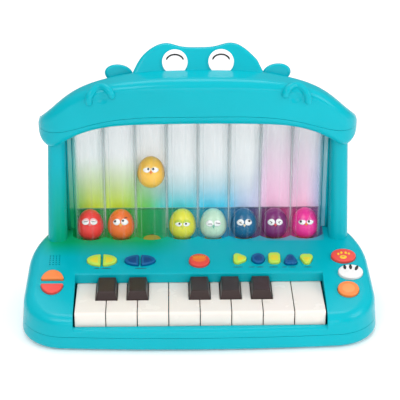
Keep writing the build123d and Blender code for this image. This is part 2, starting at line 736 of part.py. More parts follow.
with BuildPart() as base_bottom_shell:
    add(base_outer)
    add(base_inner, mode=Mode.SUBTRACT)
    split(bisect_by=Plane.XY.offset(BASE_SEAM_Z - SEAM_GAP / 2), keep=Keep.BOTTOM)
    add(tongue.part)
    add(tongue_root.part)
    add(pillars(BASE_SCREWS, BOSS_R, floor_z - 1, BASE_SEAM_Z - SEAM_GAP / 2))
    add(pillars(BOARD_PILLARS, 3, floor_z - 1, KEY_BOARD_Z))
    for x in AXLE_POSTS_X:
        add(box((x - AXLE_POST_W / 2, x + AXLE_POST_W / 2), (-5, 5), (floor_z - 1, AXLE_Z + HUB_R)))
    # battery bay with a ledge for its door
    add(box((-BAY_HALF_X - 2, BAY_HALF_X + 2), (BAY_Y[0] - 2, BAY_Y[1] + 2), (3, BAY_TOP_Z + 2)))
    add(box((-BAY_HALF_X, BAY_HALF_X), BAY_Y, (0, floor_z + 0.2)), mode=Mode.SUBTRACT)
    add(
        box(
            (-BAY_HALF_X + BAY_LEDGE, BAY_HALF_X - BAY_LEDGE),
            (BAY_Y[0] + BAY_LEDGE, BAY_Y[1] - BAY_LEDGE),
            (0, BAY_TOP_Z),
        ),
        mode=Mode.SUBTRACT,
    )
    add(box((-BAY_HALF_X, BAY_HALF_X), BAY_Y, (floor_z + 2, BAY_TOP_Z)), mode=Mode.SUBTRACT)
    add(pillars([DOOR_SCREW_XY], DOOR_BOSS_R, floor_z + 0.2, floor_z + 10))
    with BuildSketch(Plane.YZ.offset(-AXLE_HALF)):
        with Locations((0, AXLE_Z)):
            Circle(AXLE_BORE_R)
    extrude(amount=2 * AXLE_HALF, mode=Mode.SUBTRACT)
    add(pillars(BASE_SCREWS, SCREW_R + 0.2, 0, 20), mode=Mode.SUBTRACT)
    add(pillars(BASE_SCREWS, SCREW_HEAD_R + 0.2, 0, FOOT_H + SCREW_HEAD_T + 0.8), mode=Mode.SUBTRACT)
    add(pillars([DOOR_SCREW_XY], SCREW_R + 0.2, 0, BAY_TOP_Z), mode=Mode.SUBTRACT)
    add(
        box(
            (slot_x - SWITCH_SLOT[0] / 2, slot_x + SWITCH_SLOT[0] / 2),
            (slot_y - SWITCH_SLOT[1] / 2, slot_y + SWITCH_SLOT[1] / 2),
            (0, 6),
        ),
        mode=Mode.SUBTRACT,
    )
save(base_bottom_shell.part, "base_bottom_shell")

with BuildPart() as battery_door:
    add(
        box(
            (-BAY_HALF_X + 0.3, BAY_HALF_X - 0.3),
            (BAY_Y[0] + 0.3, BAY_Y[1] - 0.3),
            (FOOT_H, FOOT_H + WALL),
        )
    )
    add(pillars([DOOR_SCREW_XY], SCREW_R + 0.2, 0, 6), mode=Mode.SUBTRACT)
    add(pillars([DOOR_SCREW_XY], SCREW_HEAD_R + 0.2, 0, FOOT_H + 1.5), mode=Mode.SUBTRACT)
    with BuildSketch(Plane.XY.offset(FOOT_H)):
        with Locations((0, BAY_Y[1] - 8)):
            with GridLocations(14, 0, 3, 1):
                SlotOverall(10, 3)
    extrude(amount=1.0, mode=Mode.SUBTRACT)
save(battery_door.part, "battery_door")

with BuildPart() as feet:
    add(pillars(FEET_XY, FOOT_R, 0, FOOT_H))
    chamfer(feet.edges().group_by(Axis.Z)[0], 0.6)
save(feet.part, "feet")

with BuildPart() as power_switch:
    knob_x = slot_x - SWITCH_TRAVEL / 2
    add(
        box(
            (knob_x - SWITCH_KNOB[0] / 2, knob_x + SWITCH_KNOB[0] / 2),
            (slot_y - SWITCH_KNOB[1] / 2, slot_y + SWITCH_KNOB[1] / 2),
            (FOOT_H + 0.3, floor_z + 0.4),
        )
    )
    add(box((knob_x - 10, knob_x + 10), (slot_y - 6, slot_y + 6), (floor_z + 0.3, floor_z + 2)))
save(power_switch.part, "power_switch")

# ------------------------------------------------------------------ electronics
with BuildPart() as circuit_boards:
    for x_range, y_range in BUTTON_BOARDS:
        lows = on_deck(x_range[0], y_range[0])
        highs = on_deck(x_range[1], y_range[1])
        with BuildSketch(DECK.offset(-PAD_BOTTOM)):
            with Locations(((lows[0] + highs[0]) / 2, (lows[1] + highs[1]) / 2)):
                Rectangle(highs[0] - lows[0], highs[1] - lows[1])
        extrude(amount=-BOARD_T)
    add(box((-124, 124), KEY_BOARD_Y, (KEY_BOARD_Z, KEY_BOARD_Z + BOARD_T)))
    add(box((-128, 128), (LED_Y - 4, LED_Y + 4), (LED_BOARD_Z, LED_BOARD_Z + BOARD_T)))
    add(pillars(led_places, LED_R, LED_BOARD_Z + BOARD_T, RECESS_FLOOR_Z + 1.2))
    add(box((slot_x - 12, slot_x + 12), (slot_y - 7, slot_y + 7), (floor_z + 2.5, floor_z + 4.1)))
save(circuit_boards.part, "circuit_boards")

with BuildPart() as contact_pads:
    for x_range, y_range in BUTTON_BOARDS:
        lows = on_deck(x_range[0] + 3, y_range[0] + 1.5)
        highs = on_deck(x_range[1] - 3, y_range[1] - 2.5)
        with BuildSketch(DECK.offset(-PAD_BOTTOM)):
            with Locations(((lows[0] + highs[0]) / 2, (lows[1] + highs[1]) / 2)):
                Rectangle(highs[0] - lows[0], highs[1] - lows[1])
        extrude(amount=PAD_T)
    strip_z = KEY_BOARD_Z + BOARD_T
    dome_y = sum(KEY_BOARD_Y) / 2
    add(box((-122, 122), (dome_y - 5, dome_y + 5), (strip_z, strip_z + 1.5)))
    add(pillars([(x, dome_y) for x in WHITE_XS + BLACK_XS], 3, strip_z + 1.5, strip_z + DOME_H))
save(contact_pads.part, "contact_pads")

with BuildPart() as speaker:
    back_of_deck = button_plane(SPEAKER_X, SPEAKER_Y).offset(-WALL - 0.1)
    with BuildSketch(back_of_deck):
        Circle(SPEAKER_R)
    extrude(amount=-3)
    with BuildSketch(back_of_deck.offset(-3)):
        Circle(SPEAKER_R - 2)
    with BuildSketch(back_of_deck.offset(-7)):
        Circle(8)
    loft()
    with BuildSketch(back_of_deck.offset(-7)):
        Circle(9)
    extrude(amount=-5)
    add(inside_casing, mode=Mode.INTERSECT)
save(speaker.part, "speaker")

# ------------------------------------------------------------------ posts and head
with BuildPart() as side_posts:
    for side in (-1, 1):
        add(post_form(side, 0))
        add(post_form(side, WALL), mode=Mode.SUBTRACT)
    add(base_outer, mode=Mode.SUBTRACT)
save(side_posts.part, "side_posts")

with BuildPart() as head_walls:
    add(head_outer)
    add(head_inner, mode=Mode.SUBTRACT)

with BuildPart() as head_supports:
    add(pillars(HEAD_SCREWS, BOSS_R, 150, 260))
    add(head_outer, mode=Mode.INTERSECT)

with BuildPart() as tube_sleeves:
    for place in tube_places:
        add(pillars([place], SLEEVE_R, 150, tube_top(place[0]) + WALL))
    add(head_outer, mode=Mode.INTERSECT)

with BuildPart() as head_lower_shell:
    add(head_walls.part)
    add(head_supports.part)
    add(below_head_seam(SEAM_GAP / 2), mode=Mode.INTERSECT)
    add(tube_sleeves.part)
    for place in tube_places:
        add(pillars([place], TUBE_R + 0.05, 150, tube_top(place[0])), mode=Mode.SUBTRACT)
    add(pillars(HEAD_SCREWS, SCREW_R + 0.2, 150, 230), mode=Mode.SUBTRACT)
    for side in (-1, 1):
        add(post_form(side, -0.15), mode=Mode.SUBTRACT)
    for x, y in HEAD_SCREWS:
        add(pillars([(x, y)], SCREW_HEAD_R + 0.2, 150, head_screw_z(x) + SCREW_HEAD_T), mode=Mode.SUBTRACT)
save(head_lower_shell.part, "head_lower_shell")

with BuildPart() as nostrils:
    for side in (-1, 1):
        add(nostril_form(side))
    add(head_inner, mode=Mode.SUBTRACT)

with BuildPart() as head_top_shell:
    add(head_walls.part)
    with Locations(DIMPLE_AT, (-DIMPLE_AT[0], *DIMPLE_AT[1:])):
        Sphere(DIMPLE_R, mode=Mode.SUBTRACT)
    add(nostrils.part)
    add(head_supports.part)
    add(below_head_seam(-SEAM_GAP / 2), mode=Mode.SUBTRACT)
    add(pillars(HEAD_SCREWS, SCREW_R + 0.05, 150, 225), mode=Mode.SUBTRACT)
save(head_top_shell.part, "head_top_shell")

with BuildPart() as brow_and_ears:
    add(brow_form(0))
    for side in (-1, 1):
        add(ear_form(side))
    add(head_outer, mode=Mode.SUBTRACT)
    add(brow_form(WALL), mode=Mode.SUBTRACT)
save(brow_and_ears.part, "brow_and_ears")

with BuildPart() as eyes:
    with BuildSketch(BROW_FACE):
        with Locations((-EYE_X, EYE_UP), (EYE_X, EYE_UP)):
            Circle(EYE_R)
    extrude(amount=EYE_T)
    add(head_outer, mode=Mode.SUBTRACT)
save(eyes.part, "eyes")

# ------------------------------------------------------------------ screws
with BuildPart() as screws:
    head_z = FOOT_H + 0.8
    add(pillars(BASE_SCREWS, SCREW_HEAD_R, head_z, head_z + SCREW_HEAD_T))
    add(pillars(BASE_SCREWS, SCREW_R, head_z + SCREW_HEAD_T, 28))
    add(pillars([DOOR_SCREW_XY], SCREW_HEAD_R, FOOT_H + 0.2, FOOT_H + 1.5))
    add(pillars([DOOR_SCREW_XY], SCREW_R, FOOT_H + 1.5, FOOT_H + 10))
    for x, y in HEAD_SCREWS:
        z = head_screw_z(x)
        add(pillars([(x, y)], SCREW_HEAD_R, z, z + SCREW_HEAD_T))
        add(pillars([(x, y)], SCREW_R, z + SCREW_HEAD_T, z + SCREW_HEAD_T + 16))
save(screws.part, "screws")
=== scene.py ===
import math

import bpy
from mathutils import Matrix, Vector
from mathutils.bvhtree import BVHTree


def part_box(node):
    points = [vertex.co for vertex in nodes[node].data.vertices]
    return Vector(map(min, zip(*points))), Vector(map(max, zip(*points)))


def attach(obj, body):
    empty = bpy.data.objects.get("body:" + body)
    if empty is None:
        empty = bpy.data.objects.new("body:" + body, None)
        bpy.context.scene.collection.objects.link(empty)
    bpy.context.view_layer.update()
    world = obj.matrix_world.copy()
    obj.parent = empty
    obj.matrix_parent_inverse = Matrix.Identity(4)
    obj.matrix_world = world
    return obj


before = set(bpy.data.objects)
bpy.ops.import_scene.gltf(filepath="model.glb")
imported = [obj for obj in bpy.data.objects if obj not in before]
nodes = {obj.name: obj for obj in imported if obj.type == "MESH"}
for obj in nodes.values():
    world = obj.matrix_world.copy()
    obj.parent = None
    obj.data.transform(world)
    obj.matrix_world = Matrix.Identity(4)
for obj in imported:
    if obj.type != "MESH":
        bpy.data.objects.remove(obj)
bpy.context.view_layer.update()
MM = 0.001

WHITE_KEYS, BLACK_KEYS = 8, 5

# ------------------------------------------------------------------ the case's own planes, in mm
DECK_TILT = math.radians(13.9)
DECK_Z = 55.3
BROW_TILT = math.radians(32.0)
BROW_FOOT = Vector((0.0, 40.0, 249.6))
EYE_X, EYE_UP, EYE_T = 23.0, 7.6, 1.8


def srgb(r, g, b):
    """Linear colour of an 8-bit screen colour."""
    def lin(c):
        c /= 255.0
        return c / 12.92 if c <= 0.04045 else ((c + 0.055) / 1.055) ** 2.4
    return (lin(r), lin(g), lin(b), 1.0)


# ------------------------------------------------------------------ materials
def new_material(name):
    mat = bpy.data.materials.new(name)
    mat.use_nodes = True
    tree = mat.node_tree
    bsdf = tree.nodes["Principled BSDF"]
    return mat, tree, bsdf


def coords(tree, scale=(1, 1, 1)):
    """Object coordinates in millimetres, optionally stretched."""
    tex = tree.nodes.new("ShaderNodeTexCoord")
    mapping = tree.nodes.new("ShaderNodeMapping")
    mapping.inputs["Scale"].default_value = [1000 * s for s in scale]
    tree.links.new(tex.outputs["Object"], mapping.inputs["Vector"])
    return mapping.outputs["Vector"]


def noise(tree, vector, scale, detail=2.0, roughness=0.5):
    node = tree.nodes.new("ShaderNodeTexNoise")
    node.inputs["Scale"].default_value = scale
    node.inputs["Detail"].default_value = detail
    node.inputs["Roughness"].default_value = roughness
    tree.links.new(vector, node.inputs["Vector"])
    return node.outputs["Fac"]


def ramp(tree, value, stops):
    """Colour ramp; stops are (position, colour)."""
    node = tree.nodes.new("ShaderNodeValToRGB")
    elements = node.color_ramp.elements
    while len(elements) < len(stops):
        elements.new(0.5)
    for element, (position, colour) in zip(elements, stops):
        element.position = position
        element.color = colour
    tree.links.new(value, node.inputs["Fac"])
    return node.outputs["Color"]


def span(tree, value, low, high, to_low, to_high):
    node = tree.nodes.new("ShaderNodeMapRange")
    node.inputs["From Min"].default_value = low
    node.inputs["From Max"].default_value = high
    node.inputs["To Min"].default_value = to_low
    node.inputs["To Max"].default_value = to_high
    tree.links.new(value, node.inputs["Value"])
    return node.outputs["Result"]


def math_node(tree, kind, a, b):
    node = tree.nodes.new("ShaderNodeMath")
    node.operation = kind
    for socket, value in zip(node.inputs, (a, b)):
        if isinstance(value, (int, float)):
            socket.default_value = value
        else:
            tree.links.new(value, socket)
    return node.outputs["Value"]


def bump(tree, bsdf, height, distance, strength=1.0):
    node = tree.nodes.new("ShaderNodeBump")
    node.inputs["Distance"].default_value = distance
    node.inputs["Strength"].default_value = strength
    tree.links.new(height, node.inputs["Height"])
    tree.links.new(node.outputs["Normal"], bsdf.inputs["Normal"])


def object_axes(tree):
    """Separate x, y and z of the row frame, in metres."""
    tex = tree.nodes.new("ShaderNodeTexCoord")
    split = tree.nodes.new("ShaderNodeSeparateXYZ")
    tree.links.new(tex.outputs["Object"], split.inputs["Vector"])
    return split.outputs


def mix(tree, factor, a, b):
    node = tree.nodes.new("ShaderNodeMix")
    node.data_type = "RGBA"
    for socket, value in ((node.inputs[0], factor), (node.inputs[6], a), (node.inputs[7], b)):
        if isinstance(value, (int, float, tuple)):
            socket.default_value = value
        else:
            tree.links.new(value, socket)
    return node.outputs[2]


def product(tree, *values):
    total = values[0]
    for value in values[1:]:
        total = math_node(tree, "MULTIPLY", total, value)
    return total


def shade(colour, factor):
    return tuple(min(1.0, c * factor) for c in colour[:3]) + (1.0,)


FLOW_SCALE, POLISH_SCALE, GRAIN_SCALE = 0.012, 0.05, 0.35  # per millimetre
NOISE_LOW, NOISE_HIGH = 0.3, 0.7


def flow_tint(tree, place, dark, light):
    """Faint flow marks between two colours."""
    flow = noise(tree, place, FLOW_SCALE, 3.0)
    return ramp(tree, flow, ((NOISE_LOW, dark), (NOISE_HIGH, light)))


def uneven_polish(tree, place, bsdf, low, high):
    polish = noise(tree, place, POLISH_SCALE, 4.0)
    roughness = span(tree, polish, NOISE_LOW, NOISE_HIGH, low, high)
    tree.links.new(roughness, bsdf.inputs["Roughness"])


def plastic(name, colour, rough=0.3, texture=0.0, soft=0.0, coat=0.0, variation=0.04, specular=0.4):
    """Moulded plastic: faint flow marks in the colour, uneven polish, fine skin."""
    mat, tree, bsdf = new_material(name)
    place = coords(tree)
    tint = flow_tint(tree, place, shade(colour, 1 - variation), shade(colour, 1 + variation))
    tree.links.new(tint, bsdf.inputs["Base Color"])
    uneven_polish(tree, place, bsdf, rough * 0.85, rough * 1.2)
    skin = noise(tree, place, GRAIN_SCALE, 3.0)
    if texture:
        fine = noise(tree, place, 1.8, 2.0)
        skin = math_node(tree, "ADD", skin, math_node(tree, "MULTIPLY", fine, texture))
    bump(tree, bsdf, skin, 0.00006)
    bsdf.inputs["Specular IOR Level"].default_value = specular
    if soft:
        bsdf.inputs["Subsurface Weight"].default_value = soft
        bsdf.inputs["Subsurface Radius"].default_value = (0.004, 0.003, 0.003)
        bsdf.inputs["Subsurface Scale"].default_value = 1.0
    if coat:
        bsdf.inputs["Coat Weight"].default_value = coat
        bsdf.inputs["Coat Roughness"].default_value = 0.12
    return mat


# Heights in metres where the painted shade on the key flanks begins and where it is full.
KEY_SHADE_TOP, KEY_SHADE_FULL = 0.0388, 0.0370
FACING_LOW, FACING_HIGH = 0.80, 0.95


def key_material():
    """Ivory key with painted shade: its flanks turn dark brown just below the top, as the narrow
    gaps fall dark.
    """
    ivory = srgb(240, 231, 223)
    mat, tree, bsdf = new_material("key_ivory")
    place = coords(tree)
    geometry = tree.nodes.new("ShaderNodeNewGeometry")
    facing = tree.nodes.new("ShaderNodeSeparateXYZ")
    tree.links.new(geometry.outputs["Normal"], facing.inputs["Vector"])
    flank = math_node(tree, "ABSOLUTE", facing.outputs["X"], 0.0)
    z = object_axes(tree)[2]
    painted_gap_shade = product(
        tree,
        span(tree, flank, FACING_LOW, FACING_HIGH, 0.0, 1.0),
        span(tree, z, KEY_SHADE_TOP, KEY_SHADE_FULL, 0.0, 1.0),
    )
    base = flow_tint(tree, place, shade(ivory, 0.985), ivory)
    tree.links.new(mix(tree, painted_gap_shade, base, srgb(74, 58, 48)), bsdf.inputs["Base Color"])
    uneven_polish(tree, place, bsdf, 0.20, 0.30)
    bsdf.inputs["Subsurface Weight"].default_value = 0.08
    bsdf.inputs["Subsurface Radius"].default_value = (0.003, 0.002, 0.0015)
    bsdf.inputs["Subsurface Scale"].default_value = 1.0
    bump(tree, bsdf, noise(tree, place, GRAIN_SCALE, 3.0), 0.00002)
    bsdf.inputs["Specular IOR Level"].default_value = 0.25
    return mat


TURQUOISE = srgb(0, 175, 190)
CASE_SPECULAR = 0.18
mat_case = plastic("case_turquoise", TURQUOISE, rough=0.22, specular=CASE_SPECULAR)
mat_ivory_key = key_material()
mat_dark = plastic(
    "key_dark", srgb(58, 45, 44), rough=0.34, texture=0.5, variation=0.08, specular=0.25
)
mat_lime = plastic("button_lime", srgb(196, 228, 84), rough=0.34, soft=0.2)
mat_lime_core = plastic("button_lime_core", srgb(232, 218, 56), rough=0.4)
mat_blue = plastic("button_blue", srgb(0, 92, 150), rough=0.30)
mat_blue_core = plastic("button_blue_core", srgb(0, 66, 128), rough=0.36)
mat_red = plastic("button_red", srgb(236, 76, 66), rough=0.34, soft=0.15)
mat_red_core = plastic("button_red_core", srgb(246, 118, 44), rough=0.4)
mat_yellow = plastic("icon_yellow", srgb(252, 206, 40), rough=0.4)
mat_orange = plastic("button_orange", srgb(246, 134, 62), rough=0.34, soft=0.15)
mat_orange_core = plastic("button_orange_core", srgb(250, 152, 84), rough=0.4)
mat_white = plastic("button_white", srgb(236, 234, 232), rough=0.3, variation=0.01)
mat_popper = plastic("popper_amber", srgb(206, 170, 60), rough=0.36, soft=0.2, variation=0.1)
mat_grey = plastic("silicone_grey", srgb(150, 152, 155), rough=0.5)
mat_foot = plastic("foot_rubber", srgb(70, 72, 76), rough=0.7, texture=1.0)
mat_black = plastic("switch_black", srgb(32, 32, 34), rough=0.45, texture=1.0)
mat_board = plastic("board_green", srgb(24, 96, 52), rough=0.35)
mat_cone = plastic("speaker_black", srgb(28, 28, 28), rough=0.6, texture=0.8)
mat_ink = plastic("ink_dark", srgb(40, 52, 60), rough=0.5)
mat_pupil = plastic("ink_black", srgb(18, 16, 18), rough=0.3)
mat_eye = plastic("eye_white", srgb(250, 250, 250), rough=0.22, coat=0.3, variation=0.01)
mat_web = plastic("tube_web", srgb(226, 234, 234), rough=0.4)


def metal(name, colour, rough, stretch=(1, 1, 1)):
    mat, tree, bsdf = new_material(name)
    bsdf.inputs["Base Color"].default_value = colour
    bsdf.inputs["Metallic"].default_value = 1.0
    place = coords(tree, stretch)
    marks = noise(tree, place, 0.9, 4.0)
    roughness = span(tree, marks, NOISE_LOW, NOISE_HIGH, rough * 0.7, rough * 1.4)
    tree.links.new(roughness, bsdf.inputs["Roughness"])
    bump(tree, bsdf, marks, 0.00003)
    return mat


mat_steel = metal("steel_drawn", (0.56, 0.57, 0.58, 1), 0.28, (0.05, 1, 1))
mat_screw = metal("screw_zinc", (0.50, 0.51, 0.52, 1), 0.36)

BALL_COLOURS = (
    srgb(248, 56, 54),
    srgb(255, 120, 44),
    srgb(252, 196, 76),
    srgb(230, 226, 64),
    srgb(198, 230, 204),
    srgb(2, 102, 146),
    srgb(128, 34, 114),
    srgb(254, 48, 160),
)
mat_balls = [
    plastic(f"ball_plastic_{i + 1}", c, rough=0.28, soft=0.1, coat=0.25, variation=0.05)
    for i, c in enumerate(BALL_COLOURS)
]


LAMP_ROW = 0.135


def lamp_ramp(tree, x, stops):
    """Colour along the row of tubes; stops are (x in millimetres, colour)."""
    along = span(tree, x, -LAMP_ROW, LAMP_ROW, 0.0, 1.0)
    return ramp(tree, along, [((at * MM / LAMP_ROW + 1) / 2, colour) for at, colour in stops])


# Painted lamp colours along the row (x in millimetres, colour): WALL_LIGHT on the rear wall and
# tube recess, TUBE_LIGHT on the tubes' backs.
WALL_LIGHT = (
    (-132, srgb(4, 132, 74)),
    (-100, srgb(24, 156, 62)),
    (-66, srgb(50, 164, 54)),
    (-50, srgb(2, 160, 88)),
    (-32, srgb(20, 156, 112)),
    (-8, srgb(6, 160, 172)),
    (26, srgb(8, 152, 186)),
    (52, srgb(60, 96, 150)),
    (66, srgb(110, 66, 122)),
    (92, srgb(182, 50, 126)),
    (116, srgb(176, 66, 140)),
    (132, srgb(60, 104, 138)),
)
TUBE_LIGHT = (
    (-132, srgb(30, 160, 90)),
    (-114, srgb(182, 204, 54)),
    (-82, srgb(180, 204, 44)),
    (-66, srgb(140, 194, 70)),
    (-50, srgb(90, 186, 104)),
    (-36, srgb(64, 190, 200)),
    (-2, srgb(60, 192, 216)),
    (34, srgb(64, 190, 220)),
    (44, srgb(170, 200, 224)),
    (62, srgb(204, 196, 220)),
    (74, srgb(224, 180, 206)),
    (114, srgb(230, 190, 210)),
    (132, srgb(110, 170, 200)),
)


# Painted lamp light: the tubes' milky backs get painted lamp colour and glow above a line that
# slants over the rear wall, as from lamps in the base.
TUBE_PITCH, TUBE_COUNT, TUBE_Y = 0.0323, 8, 0.049
LAMP_SLOPE = 0.505
WALL_TOP_Z, WALL_REAR_Y = 0.0798, 0.071
OVER_WALL = WALL_TOP_Z + WALL_REAR_Y * LAMP_SLOPE
LINE_SOFT = 0.0006
LIGHT_REACH, PINK_LIGHT_REACH = 0.062, 0.120
PINK_FROM, PINK_FULL = 0.056, 0.070
SIDE_FROM, SIDE_FULL = 0.1245, 0.1275
SIDE_DIM_Z, SIDE_BRIGHT_Z = 0.088, 0.150
VEIL_BACK = (
    (0.0, 0.80), (0.045, 0.66), (0.07, 0.42), (0.18, 0.44), (0.26, 0.35), (0.40, 0.38),
    (0.50, 0.33), (0.62, 0.37), (0.74, 0.33), (0.84, 0.44), (0.93, 0.42), (0.955, 0.66),
    (1.0, 0.80),
)
EDGE_SHADE = ((0.0, 1.0), (0.03, 0.9), (0.065, 0.0), (0.935, 0.0), (0.97, 0.9), (1.0, 1.0))
# Alpha of the thin front skin across one tube: nearly clear, rising towards both edges, with
# painted highlight streaks in its narrow bumps.
FRONT_SKIN_AND_PAINTED_STREAKS = (
    (0.0, 0.50), (0.04, 0.28), (0.065, 0.02), (0.15, 0.01), (0.175, 0.13), (0.20, 0.01),
    (0.56, 0.01), (0.60, 0.05), (0.64, 0.01), (0.84, 0.01), (0.88, 0.07), (0.92, 0.02),
    (0.96, 0.28), (1.0, 0.50),
)


def grey_ramp(tree, value, stops):
    return ramp(tree, value, [(at, (level, level, level, 1)) for at, level in stops])


def tube_material():
    """Clear tubes: a thin front skin, and a milky back with painted lamp light, colour and glow,
    that fades upwards.
    """
    mat, tree, bsdf = new_material("tube_clear")
    x, y, z = object_axes(tree)
    first_edge = (TUBE_COUNT / 2) * TUBE_PITCH
    across = math_node(tree, "DIVIDE", math_node(tree, "ADD", x, first_edge), TUBE_PITCH)
    across = math_node(tree, "FRACT", across, 0.0)
    back = span(tree, y, TUBE_Y - MM, TUBE_Y + MM, 0.0, 1.0)
    over_wall = math_node(tree, "ADD", z, math_node(tree, "MULTIPLY", y, LAMP_SLOPE))
    above_wall = span(tree, over_wall, OVER_WALL - LINE_SOFT, OVER_WALL + LINE_SOFT, 0.0, 1.0)
    height = math_node(tree, "SUBTRACT", over_wall, OVER_WALL)
    reach = span(tree, x, PINK_FROM, PINK_FULL, LIGHT_REACH, PINK_LIGHT_REACH)
    fade = span(tree, math_node(tree, "DIVIDE", height, reach), 0.0, 1.0, 1.0, 0.0)
    falloff = math_node(
        tree,
        "SUBTRACT",
        span(tree, x, -0.058, -0.040, 1.15, 2.1),
        span(tree, x, PINK_FROM, PINK_FULL, 0.0, 0.9),
    )
    light = product(tree, math_node(tree, "POWER", fade, falloff), above_wall)
    # Painted lamp light on the back half: the wall's lamp colour below the line, the tubes' own
    # above it, both glowing.
    wall_tint = lamp_ramp(tree, x, WALL_LIGHT)
    tint = mix(tree, above_wall, wall_tint, lamp_ramp(tree, x, TUBE_LIGHT))
    below = product(tree, math_node(tree, "SUBTRACT", 1.0, above_wall), 0.9)
    glow = product(tree, back, math_node(tree, "MAXIMUM", light, below))
    side = span(tree, math_node(tree, "ABSOLUTE", x, 0.0), SIDE_FROM, SIDE_FULL, 0.0, 1.0)
    right_half = span(tree, x, -0.01, 0.01, 0.0, 1.0)
    # Painted lamp light on the end flanges: green towards their foot on the left, paler higher up.
    lower = mix(tree, right_half, srgb(30, 182, 124), srgb(130, 204, 222))
    upper = mix(tree, right_half, srgb(130, 224, 218), srgb(158, 214, 222))
    height_share = span(tree, z, SIDE_DIM_Z, SIDE_BRIGHT_Z, 0.0, 1.0)
    clear = mix(tree, side, (0.74, 0.80, 0.82, 1), mix(tree, height_share, lower, upper))
    body = mix(tree, glow, clear, tint)
    # Painted shade: the base colour darkens along both side edges of each tube, but not on the
    # flanges.
    edge = grey_ramp(tree, across, EDGE_SHADE)
    edge = product(tree, edge, math_node(tree, "SUBTRACT", 1.0, side))
    body = mix(tree, product(tree, edge, 0.3), body, (0.10, 0.20, 0.20, 1))
    tree.links.new(body, bsdf.inputs["Base Color"])
    streaks = grey_ramp(tree, across, VEIL_BACK)
    back_alpha = math_node(tree, "ADD", streaks, product(tree, light, 0.66))
    back_alpha = math_node(tree, "MINIMUM", back_alpha, 0.97)
    back_alpha = product(tree, back_alpha, span(tree, above_wall, 0.0, 1.0, 0.55, 1.0))
    front_alpha = grey_ramp(tree, across, FRONT_SKIN_AND_PAINTED_STREAKS)
    alpha = mix(tree, back, front_alpha, back_alpha)
    alpha = mix(tree, side, alpha, (0.78, 0.78, 0.78, 1))
    tree.links.new(alpha, bsdf.inputs["Alpha"])
    # Painted glow in the lamp colours.
    tree.links.new(tint, bsdf.inputs["Emission Color"])
    tree.links.new(product(tree, glow, 0.40), bsdf.inputs["Emission Strength"])
    bsdf.inputs["Roughness"].default_value = 0.12
    bsdf.inputs["IOR"].default_value = 1.12
    return mat


RECESS_SIDE, RECESS_FRONT, RECESS_FLOOR = (0.1312, 0.1322), (0.027, 0.030), (0.046, 0.049)
WALL_FRONT, WALL_BACK = (0.0652, 0.0664), (0.0702, 0.0708)
SPILL_DECK, SPILL_BACK, SPILL_FLOOR = (0.006, 0.028), (0.0684, 0.0694), (0.052, 0.054)
SPILL_RIGHT, SPILL_LEFT = (-0.010, -0.050), (-0.172, -0.150)
RIM_Z, RIM_Y = (0.0790, 0.0796), (0.0660, 0.0670)
POST_SPILL_Z, POST_LEFT, POST_OUTER = (0.150, 0.070), (0.0, -0.05), (-0.158, -0.146)


def step(tree, value, limits, to_low=0.0, to_high=1.0):
    """Share that goes from to_low to to_high between two limits."""
    return span(tree, value, *limits, to_low, to_high)


def case_finish(tree, place, bsdf):
    """Polish, gloss and skin shared by the turquoise plastics that catch lamp light."""
    uneven_polish(tree, place, bsdf, 0.19, 0.27)
    bsdf.inputs["Specular IOR Level"].default_value = CASE_SPECULAR
    bump(tree, bsdf, noise(tree, place, GRAIN_SCALE, 3.0), 0.00005)


def lit_case(name):
    """Case plastic with painted lamp light: the tube recess glows in painted lamp colours, a
    painted green pool of light lies on the left of the deck before it, and the rear wall's top face
    gets painted shade.
    """
    mat, tree, bsdf = new_material(name)
    place = coords(tree)
    x, y, z = object_axes(tree)
    base = flow_tint(tree, place, shade(TURQUOISE, 0.97), shade(TURQUOISE, 1.03))
    slope = math.tan(DECK_TILT)
    depth = math_node(tree, "SUBTRACT", z, math_node(tree, "MULTIPLY", y, slope))
    inside = span(tree, depth, DECK_Z * MM + 0.0002, DECK_Z * MM - 0.0006, 0.0, 1.0)
    wall = product(
        tree,
        math_node(tree, "MAXIMUM", inside, step(tree, y, WALL_FRONT)),
        step(tree, math_node(tree, "ABSOLUTE", x, 0.0), RECESS_SIDE, 1.0, 0.0),
        step(tree, y, RECESS_FRONT),
        step(tree, y, WALL_BACK, 1.0, 0.0),
        step(tree, z, RECESS_FLOOR),
    )
    # Painted green pool of light on the left of the deck before the tubes, fading in towards the
    # back.
    spill = product(
        tree,
        step(tree, y, SPILL_DECK, 0.0, 0.92),
        step(tree, y, SPILL_BACK, 1.0, 0.0),
        step(tree, x, SPILL_RIGHT),
        step(tree, x, SPILL_LEFT),
        step(tree, z, SPILL_FLOOR),
    )
    base = mix(tree, spill, base, srgb(8, 162, 96))
    # Painted shade on the rear wall's top face, which also loses the painted glow.
    rim = product(tree, step(tree, z, RIM_Z), step(tree, y, RIM_Y))
    below_rim = math_node(tree, "SUBTRACT", 1.0, rim)
    # Painted lamp colour and painted glow on the recess walls and the front of the rear wall.
    base = mix(tree, wall, base, lamp_ramp(tree, x, WALL_LIGHT))
    base = mix(tree, product(tree, rim, wall, 0.6), base, (0.0, 0.05, 0.05, 1))
    tree.links.new(base, bsdf.inputs["Base Color"])
    tree.links.new(lamp_ramp(tree, x, WALL_LIGHT), bsdf.inputs["Emission Color"])
    tree.links.new(product(tree, wall, below_rim, 0.30), bsdf.inputs["Emission Strength"])
    case_finish(tree, place, bsdf)
    return mat


def lit_post(name):
    """Case plastic of the posts, the left one with painted green lamp light on its inner part
    towards its foot.
    """
    mat, tree, bsdf = new_material(name)
    place = coords(tree)
    x, _, z = object_axes(tree)
    base = flow_tint(tree, place, shade(TURQUOISE, 0.94), shade(TURQUOISE, 1.0))
    # Painted green lamp light, stronger lower down on the left post's inner part.
    spill = product(
        tree,
        step(tree, z, POST_SPILL_Z, 0.0, 0.75),
        step(tree, x, POST_LEFT),
        step(tree, x, POST_OUTER),
    )
    tree.links.new(mix(tree, spill, base, srgb(4, 160, 96)), bsdf.inputs["Base Color"])
    case_finish(tree, place, bsdf)
    return mat


mat_lit_case = lit_case("case_turquoise_lit")
mat_lit_post = lit_post("post_turquoise_lit")
mat_tube = tube_material()

